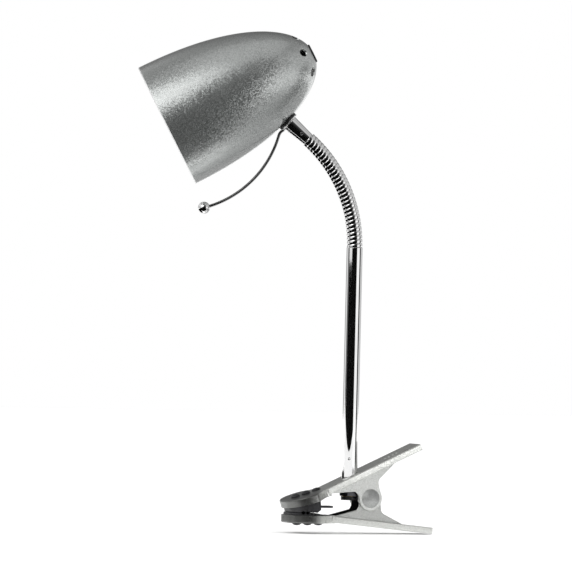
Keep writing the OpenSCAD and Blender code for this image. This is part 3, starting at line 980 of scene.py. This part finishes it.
def handle_ball():
    """The polished ball, with a blind bore for the end of the wire."""
    centre = FLANGE @ moved(*handle_point(BALL_TURN)) @ turned(BALL_TURN, "Y")
    bore = HANDLE_WIRE_R + 0.15
    low = math.asin(bore / BALL_R)
    outline = [(BALL_R * math.sin(a), BALL_R * math.cos(a))
               for a in (math.pi - (math.pi - low) * k / 40 for k in range(1, 41))]
    outline = [(0, -BALL_R)] + outline + [(bore, 1), (0, 1)]
    ball = lathe("handle_knob", outline, centre, 64)
    finish_piece(smooth(ball, 50), "chrome", "head", "handle_ball")


def skin_normal(point, radius=SHADE_R, length=SHADE_LEN):
    """Outward normal of a shade skin at a point in the shade frame."""
    t = min(max(point.z, 0.06), length - 0.5)
    slope = (shade_radius(t + 0.05, radius, length) - shade_radius(t - 0.05, radius, length)) / 0.1
    a = math.atan2(point.y, point.x)
    return Vector((math.cos(a), math.sin(a), -slope)).normalized()


def skin_points(radius, length, tip):
    """Points of a shade skin from its rim to its tail hole, closer together toward the tail."""
    steps = 72
    stations = [tip * math.sin(math.pi / 2 * i / steps) for i in range(steps + 1)]
    return [(shade_radius(t, radius, length), t) for t in stations]


def shade_outline():
    """Both skins, the rolled bead that joins them at the rim, and the hole for the switch."""
    outer = skin_points(SHADE_R, SHADE_LEN, OUTER_TIP)
    inner = skin_points(SHADE_R - SHADE_WALL, SHADE_LEN - SHADE_WALL, INNER_TIP)
    inner = [(r, t) for r, t in inner if t > RIM_INSIDE]
    outer = [(r, t) for r, t in outer if t > 0.9]
    back_of_bead = [(SHADE_R - 1.25, 2.1), (SHADE_R - 1.7, 1.4), (SHADE_R - 1.7, BEAD_R)]
    bead = arc((SHADE_R - BEAD_R, BEAD_R), BEAD_R, -180, 0, 12)[1:]
    hole = [(TIP_R + 0.25, OUTER_TIP - 0.05), (NECK_THREAD_R + 0.1, OUTER_TIP)]
    return inner[::-1] + back_of_bead + bead + outer[:-1] + hole + [(NECK_THREAD_R + 0.1, INNER_TIP)]


def shade_holes():
    """Cutters for the six vents round the tail and for the mount's bolt."""
    cutters = []
    for i in range(VENTS):
        place = SHADE @ turned(-90 - VENT_TURN - i * 360 / VENTS, "Z") @ moved(VENT_RING, 0, 0)
        cutters.append(disc("hole", VENT_R, SHADE_LEN - 30, SHADE_LEN + 10, place, 48))
    cutters.append(disc("hole", BOLT_R + 0.1, FERRULE_LEN, FERRULE_LEN + 15, MOUNT, 48))
    return cutters


def shade_surface(mesh):
    """Enamel inside, and the skins' own normals, which keep reflections even round the holes."""
    back = SHADE.inverted()
    turn = SHADE.to_3x3()
    corner_normals = [Vector(n.vector) for n in mesh.corner_normals]
    for poly in mesh.polygons:
        at = back @ (poly.center / MM)
        facing = poly.normal.dot(turn @ skin_normal(at))
        gap = shade_radius(at.z) - math.hypot(at.x, at.y)
        if facing < -0.9 or at.z < 0.8 or (at.z < RIM_INSIDE and gap > 1.2):
            poly.material_index = 1
        if abs(facing) < 0.96 or at.z < 3 or at.z > OUTER_TIP - 1.5:
            continue
        side, wall = (1, 0) if facing > 0 else (-1, SHADE_WALL)
        for loop, vertex in zip(poly.loop_indices, poly.vertices):
            spot = back @ (mesh.vertices[vertex].co / MM)
            corner_normals[loop] = turn @ skin_normal(spot, SHADE_R - wall, SHADE_LEN - wall) * side
    mesh.normals_split_custom_set(corner_normals)


def shade():
    """The spun shade: a rolled rim, six vents round the tail and a hole for the switch."""
    obj = lathe("shade_shell", shade_outline(), SHADE, 192)
    combined(obj, shade_holes(), "DIFFERENCE")
    smooth(obj, 35, False)
    finish_piece(obj, "shade_paint", None)
    obj.data.materials.append(ENAMEL)
    shade_surface(obj.data)
    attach(obj, "head")
    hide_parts("shade")


def packing_top(x, y, low, high):
    """Height over the flange at which the line through (x, y) meets the shade, by halving."""
    back = SHADE.inverted() @ MOUNT
    for _ in range(30):
        middle = (low + high) / 2
        p = back @ Vector((x, y, middle))
        inside = math.hypot(p.x, p.y) < shade_radius(p.z) + 0.02
        low, high = (low, middle) if inside else (middle, high)
    return low


def saddle_washer():
    """Black packing between the flange and the shade's curve, shaped to both."""
    flat = FERRULE_LEN + FLANGE_T
    bottom = flat + 0.02
    steps = 72
    layers = [(BOLT_R + 0.05, 0), (FLANGE_R - 0.35, 0), (FLANGE_R, 0.3), (FLANGE_R + 0.05, 0.7),
              (FLANGE_R - 0.1, 1), (6.6, 1), (5.3, 1), (BOLT_R + 0.05, 1)]
    points = []
    for radius, share in layers:
        for a in full_turn(steps):
            x, y, _ = polar(radius, a)
            top = packing_top(x, y, flat - 1, flat + 12)
            points.append((x, y, bottom + (top - flat - 0.02) * share))
    obj = piece("saddle_packing", points, closed_skin(len(layers), steps), MOUNT)
    finish_piece(smooth(obj, 40), "black_plastic", "head", "saddle_washer")


def threaded(radius, depth):
    """A rounded screw thread for lathe(), cut into what lies at the radius or outside it."""

    def skin(r, a, height):
        if r < radius - 0.01:
            return r
        wave = math.cos(2 * math.pi * (height / THREAD_PITCH - a / (2 * math.pi)))
        return r - depth * (1 - wave) / 2

    return skin


def ribs(r, a, height):
    """Grip ribs for lathe(), round the middle of the lampholder."""
    if r < HOLDER_R - 0.01 or not HOLDER_FRONT + 4 < height < HOLDER_BACK - 12:
        return r
    return r - 0.55 * (0.5 - 0.5 * math.cos(24 * a)) ** 0.6


def lampholder():
    """Moulded holder with grip ribs, and its screw shell."""
    stations = [HOLDER_FRONT + 3.6, HOLDER_FRONT + 4.4, HOLDER_BACK - 12.6, HOLDER_BACK - 11.6]
    outline = [(SHELL_R + 0.05, HOLDER_FRONT + 0.4), (SHELL_R + 0.6, HOLDER_FRONT)]
    outline += arc((HOLDER_R - 0.8, HOLDER_FRONT + 0.8), 0.8, -90, 0, 5)
    outline += [(HOLDER_R, z) for z in stations]
    outline += arc((HOLDER_R - 1, HOLDER_BACK - 10), 1, 0, 50, 4)
    outline += [(NECK_THREAD_R + 0.3, HOLDER_BACK - 2.4), (NECK_THREAD_R, HOLDER_BACK - 2)]
    outline += [(NECK_THREAD_R, HOLDER_BACK + 2.6), (WELL_R, HOLDER_BACK + 2.6)]
    outline += [(WELL_R, WELL_FLOOR), (0, WELL_FLOOR)]
    outline += [(0, SOCKET_FLOOR), (SHELL_R + 0.05, SOCKET_FLOOR)]
    body = lathe("lampholder_body", outline, SHADE, 192, ribs)
    finish_piece(smooth(body, 40), "black_plastic", "head", "holder_body")
    rows = [HOLDER_FRONT + 2 + THREAD_STEP * k for k in range(64)]
    inside = SHELL_R - 0.5
    outline = [(inside, z) for z in reversed(rows)] + [(SHELL_R - 0.02, z) for z in rows]
    shell = lathe("screw_shell", outline, SHADE, 72, threaded(inside, 0.22))
    finish_piece(smooth(shell, 60, False), "brass", "head", "socket_shell")


def bulb_radius(t, r):
    meet = BULB_CENTRE + r * 0.72
    wide = math.sqrt(r * r - (meet - BULB_CENTRE) ** 2)
    slim = BULB_CAP_R - (BULB_R - r) - 0.7
    ease = (t - meet) / (BULB_NECK - meet)
    if t < meet:
        return math.sqrt(max(0.0, r * r - (t - BULB_CENTRE) ** 2))
    return wide - (wide - slim) * (1 - max(0.0, 1 - ease) ** 1.8)


def bulb_skin(r):
    front = [(r * math.sin(a), BULB_CENTRE - r * math.cos(a))
             for a in (math.radians(133) * k / 44 for k in range(45))]
    last = front[-1][1]
    neck = [last + (BULB_NECK - last) * k / 20 for k in range(1, 21)]
    return front + [(bulb_radius(t, r), t) for t in neck]


def bulb():
    """A small opal golf-ball lamp with a screw cap."""
    outer = bulb_skin(BULB_R)
    inner = bulb_skin(BULB_R - 0.8)
    cap_in = BULB_CAP_R - 0.72
    outline = outer + [(cap_in, BULB_NECK + 0.2), (cap_in, BULB_NECK + 4)]
    outline += [(cap_in - 0.8, BULB_NECK + 4)] + inner[::-1]
    glass = lathe("bulb_opal_glass", outline, SHADE, 128)
    finish_piece(smooth(glass, 50, False), "bulb_glass", "head", "bulb_glass")
    top = SOCKET_FLOOR - 5
    rows = [BULB_NECK + 2 + THREAD_STEP * k for k in range(48)]
    outline = [(BULB_CAP_R - 0.6, BULB_NECK), (BULB_CAP_R - 0.1, BULB_NECK)]
    outline += [(BULB_CAP_R, z) for z in rows]
    outline += [(BULB_CAP_R - 0.6, top), (BULB_CAP_R - 0.7, top)]
    cap = lathe("bulb_screw_cap", outline, SHADE, 72, threaded(BULB_CAP_R, 0.5))
    finish_piece(smooth(cap, 60, False), "nickel", "head", "bulb_cap")
    outline = [(0, top - 1), (BULB_CAP_R - 0.75, top - 1), (BULB_CAP_R - 0.75, top), (5, top)]
    outline += [(3.2, top + 1.9), (2.6, top + 2.6), (2.0, top + 2.95), (0, top + 3)]
    contact = lathe("bulb_end_contact", outline, SHADE, 48)
    finish_piece(smooth(contact, 40), "black_plastic", "head", "bulb_contact")


def supply_lead():
    """The sleeved lead inside the head, in a soft bow from the bolt to the lampholder."""
    start_x, start_z = along_mount(SEAT_Z + 11.5)
    entry_t, entry_r = HOLDER_FRONT + 6, HOLDER_R + 2.4
    start = Vector((start_x, 0, start_z))
    entry = Vector((RIM_X + entry_t * math.cos(pitch) + entry_r * math.sin(pitch), 0,
                    RIM_Z + entry_t * math.sin(pitch) - entry_r * math.cos(pitch)))
    bow = (start + entry) / 2 + Vector((0.6, 0, 0.5))
    path = [curve(start, bow, entry, k / 12) for k in range(13)]
    obj = tube("lead_in_sleeve", path, LEAD_R, HEAD_PLANE, 24)
    finish_piece(smooth(obj, 50, False), "lead_sleeve", "head", "supply_lead")


def push_switch():
    """Black bezel screwed on the lampholder's neck, and the button through it."""
    low = OUTER_TIP + 0.03
    outline = [(WELL_R + 0.1, low), (TIP_R + 0.1, low), (TIP_R + 0.1, low + 0.3)]
    outline += arc((TIP_R - 0.6, low + 0.4), 0.7, 0, 90, 6) + [(WELL_R + 0.4, low + 1.1)]
    outline += [(WELL_R + 0.1, low + 0.8)]
    bezel = lathe("switch_collar", outline, SHADE, 96)
    finish_piece(smooth(bezel, 40), "black_plastic", "head", "switch_bezel")
    top = OUTER_TIP + 0.5
    outline = [(0, BUTTON_BACK), (BUTTON_R - 0.3, BUTTON_BACK), (BUTTON_R, BUTTON_BACK + 0.3)]
    outline += arc((BUTTON_R - 0.45, top - 0.1), 0.45, 0, 60, 4)
    outline += [(BUTTON_R * (1 - u) * 0.9, top + 0.3 + 0.5 * (1 - (1 - u) ** 2))
                for u in (k / 8 for k in range(1, 8))]
    outline += [(0, top + 0.8)]
    button = lathe("switch_push_button", outline, SHADE, 72)
    finish_piece(smooth(button, 40), "black_plastic", "switch", "switch_button")


def switch_spring():
    """The spring under the button, between the holder and the button."""
    rise = BUTTON_BACK - WELL_FLOOR - 0.9
    steps = 20
    path = []
    for k in range(SWITCH_COILS * steps + 1):
        a = 2 * math.pi * k / steps
        path.append(polar(SWITCH_COIL_R, a, 0.45 + rise * k / (SWITCH_COILS * steps)))
    spring = tube("switch_coil", path, SWITCH_WIRE_R, SHADE @ moved(0, 0, WELL_FLOOR), 10)
    finish_piece(smooth(spring, 50, False), "spring_steel", None, "switch_spring")
    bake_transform(spring)


def carried_over():
    """CAD nodes whose own shape is right get their finish here."""
    finish = {
        "steel": ["pivot_pin", "neck_plug", "inner_washer", "inner_nut"],
        "spring_steel": ["spring_washer", "lock_nut"],
        "brass": ["threaded_nipple", "mount_bolt", "centre_contact"],
        "black_plastic": ["stem_socket", "cord_bush"],
    }
    for slot, nodes in finish.items():
        for node in nodes:
            mesh = frame["nodes"][node].data
            mesh.materials.clear()
            mesh.materials.append(MAT[slot])


# ------------ studio

VIEW_TURN = math.radians(-22)
VIEW_RISE = math.radians(0.1)
VIEW_ROLL = math.radians(1.36)
VIEW_AWAY = 5.0
VIEW_WIDE = 0.429
AIM = Vector((-0.01184, 0.01902, 0.1687))
RIGHT = Vector((math.cos(VIEW_TURN), math.sin(VIEW_TURN), 0))
FRONT = Vector((math.sin(VIEW_TURN), -math.cos(VIEW_TURN), 0))


# Cards round the lamp as (first turn, last turn, steps), and panels as (turn, brightness). A turn is
# in degrees, from the camera's side of the lamp to its right.
TABLE_EDGE = 75
FOOT_AWAY = 100
SIDE_AWAY = 360
CARD_AWAY = 1000
CARD_END = 1300
FRONT_CARD = (-79.5, 37.5, 26)
LEFT_CARD = (-140, -79.5, 10)
RIGHT_CARD = (38, 200, 24)
SIDE_CARD = (79.5, 100.5, 6)
LEVEL_PANELS = [
    (-180, 0.3), (-135, 0.32), (-129, 0.8), (-106, 0.8), (-102, 0.15), (-78, 0.15), (-75, 0.85),
    (-36, 0.85), (-33, 0.012), (36, 0.012), (38, 1.0), (79.5, 1.0), (80.5, 0.01), (100, 0.01),
    (102, 0.66), (180, 0.5),
]
UPPER_PANELS = [
    (-180, 0.12), (-162, 0.2), (-150, 0.6), (-130, 0.7), (-76, 0.85), (-20, 1.0), (-10, 0.04),
    (36, 0.04), (46, 0.55), (120, 0.6), (150, 0.2), (180, 0.12),
]
CEILING = 0.25


def toward(turn, rise):
    """A direction, in degrees to the camera's right and above level, as seen from the object."""
    t, r = math.radians(turn), math.radians(rise)
    level = RIGHT * math.sin(t) + FRONT * math.cos(t)
    return level * math.cos(r) + Vector((0, 0, math.sin(r)))


def camera():
    back = FRONT * math.cos(VIEW_RISE) + Vector((0, 0, math.sin(VIEW_RISE)))
    up = back.cross(RIGHT)
    right = RIGHT * math.cos(VIEW_ROLL) + up * math.sin(VIEW_ROLL)
    up = back.cross(right)
    data = bpy.data.cameras.new("camera")
    data.sensor_width = 36
    data.lens = data.sensor_width * VIEW_AWAY / VIEW_WIDE
    data.clip_start = 0.05
    data.clip_end = 50
    obj = placed("camera", data)
    turn = Matrix((right, up, back)).transposed().to_4x4()
    obj.matrix_world = Matrix.Translation(AIM + back * VIEW_AWAY) @ turn
    scene.camera = obj


def softbox(name, turn, rise, away, size, watts):
    data = bpy.data.lights.new(name, "AREA")
    data.shape = "RECTANGLE"
    data.size = size[0]
    data.size_y = size[1]
    data.energy = watts
    obj = placed(name, data)
    obj.location = AIM + toward(turn, rise) * away
    obj.rotation_euler = toward(turn, rise).to_track_quat("Z", "Y").to_euler()
    return obj


def spot(turn, away, height):
    """A point round the stem's axis, by its turn from the camera's side."""
    foot = toward(turn, 0) * away
    return Vector((foot.x + STEM_X, foot.y, height))


def flag(name, turns, inner, outer, shade=0.006, glow=0.0):
    """A card that only reflections see; inner and outer give its edges' place at each turn."""
    start, stop, steps = turns
    points = []
    for k in range(steps + 1):
        turn = start + (stop - start) * k / steps
        points += [spot(turn, *edge(turn)) for edge in (inner, outer)]
    faces = [[2 * k, 2 * k + 2, 2 * k + 3, 2 * k + 1] for k in range(steps)]
    obj = piece(name, points, faces)
    n = Nodes(name)
    n.colours(n.noise(5), grey(shade * 0.95), grey(shade))
    n.put(Roughness=0.9, Specular_IOR_Level=0.0, Emission_Color=(1, 1, 1, 1), Emission_Strength=glow)
    obj.data.materials.append(n.material)
    for ray in ("camera", "diffuse", "transmission", "volume_scatter", "shadow"):
        setattr(obj, "visible_" + ray, False)


def flags(ground):
    """The dark side of the room, cards on the ground, and a low white card round the stem's foot."""

    def level(away, height=ground):
        return lambda turn: (away, height)

    def front_top(turn):
        return CARD_AWAY, 300 if turn > -34 else 190

    def foot_top(turn):
        """Lowest a little to the camera's left, so that the tube's white foot has a curved top."""
        return FOOT_AWAY, 43.6 + 18 * ((turn + 15) / 54) ** 2

    def table_edge(turn):
        """A straight edge across the camera's side."""
        return TABLE_EDGE / math.cos(math.radians(turn)), ground

    flag("front_flag", FRONT_CARD, level(CARD_AWAY), front_top)
    flag("foot_card", FRONT_CARD, level(FOOT_AWAY, 22), foot_top, glow=1.0)
    flag("ground_flag", FRONT_CARD, table_edge, level(CARD_AWAY))
    flag("left_flag", LEFT_CARD, level(200), level(CARD_END))
    flag("right_flag", RIGHT_CARD, level(110), level(CARD_END), shade=0.9)
    flag("side_flag", SIDE_CARD, level(SIDE_AWAY), level(SIDE_AWAY, 260))


def panels(n, around, stops):
    return n.ramp(around, [((turn + 180) / 360, grey(value)) for turn, value in stops])


def studio_world():
    """White to the camera; for light and reflections, a room of white and black panels."""
    world = bpy.data.worlds.new("studio")
    scene.world = world
    world.use_nodes = True
    n = Tree(world.node_tree)
    n.tree.nodes.clear()
    way = n.add("ShaderNodeTexCoord").outputs["Generated"]
    right, front, up = [n.vector("DOT_PRODUCT", way, axis) for axis in (RIGHT, FRONT, Vector((0, 0, 1)))]
    around = n.number("MULTIPLY_ADD", n.number("ARCTAN2", right, front), 1 / (2 * math.pi), 0.5)
    level = panels(n, around, LEVEL_PANELS)
    above = panels(n, around, UPPER_PANELS)
    walls = n.mixed(n.mapped(up, (0.15, 0.3)), level, above)
    room = n.mixed(n.mapped(up, (0.6, 0.85)), walls, (*grey(CEILING), 1))
    seen = n.add("ShaderNodeLightPath").outputs["Is Camera Ray"]
    background = n.add("ShaderNodeBackground", Color=n.mixed(seen, room, (1, 1, 1, 1)))
    n.add("ShaderNodeOutputWorld", Surface=background.outputs["Background"])


def floor_light():
    """A wide sun for the floor alone, so that it stays white with soft contact shadows."""
    data = bpy.data.lights.new("floor_sun", "SUN")
    data.energy = 2.6
    data.angle = math.radians(150)
    return placed("floor_sun", data)


def light_only(light, name, objects):
    """Makes a light reach the given objects and no others."""
    lit = bpy.data.collections.new(name)
    for obj in objects:
        lit.objects.link(obj)
    light.light_linking.receiver_collection = lit


def studio():
    """The white floor, the cards and the lights; most lights leave the chrome to its reflections."""
    scene.view_settings.view_transform = "Standard"
    studio_world()
    low = cad_box[0].z / MM - 0.4
    half = 4000
    corners = [(-half, -half, low), (half, -half, low), (half, half, low), (-half, half, low)]
    floor = piece("floor", corners, [[0, 1, 2, 3]])
    floor.data.materials.append(floor_paint())
    flags(low + 0.6)
    key = softbox("key", turn=-32, rise=42, away=1.3, size=(0.9, 0.8), watts=2.5)
    overhead = softbox("overhead", turn=10, rise=82, away=1.6, size=(1.4, 1.4), watts=2)
    fill = softbox("fill", turn=55, rise=8, away=1.5, size=(1.0, 0.8), watts=3)
    light_only(floor_light(), "lit_floor", [floor])
    kept_dark = ("handle_flange", "stem_chrome_tube")
    receivers = [o for o in scene.objects if o.type == "MESH" and not o.name.startswith(kept_dark)]
    light_only(key, "lit_by_key", receivers)
    light_only(overhead, "lit_from_overhead", receivers)
    light_only(fill, "lit_by_fill", [o for o in receivers if o.name.startswith("upper_lever")])


upper_lever()
lower_lever()
pads()
pivot_caps()
torsion_spring()
stem_tube()
for k in range(1, NECK_JOINTS + 1):
    neck_piece(k)
ferrule()
aiming_handle()
handle_ball()
shade()
saddle_washer()
lampholder()
bulb()
supply_lead()
push_switch()
switch_spring()
carried_over()
camera()
studio()
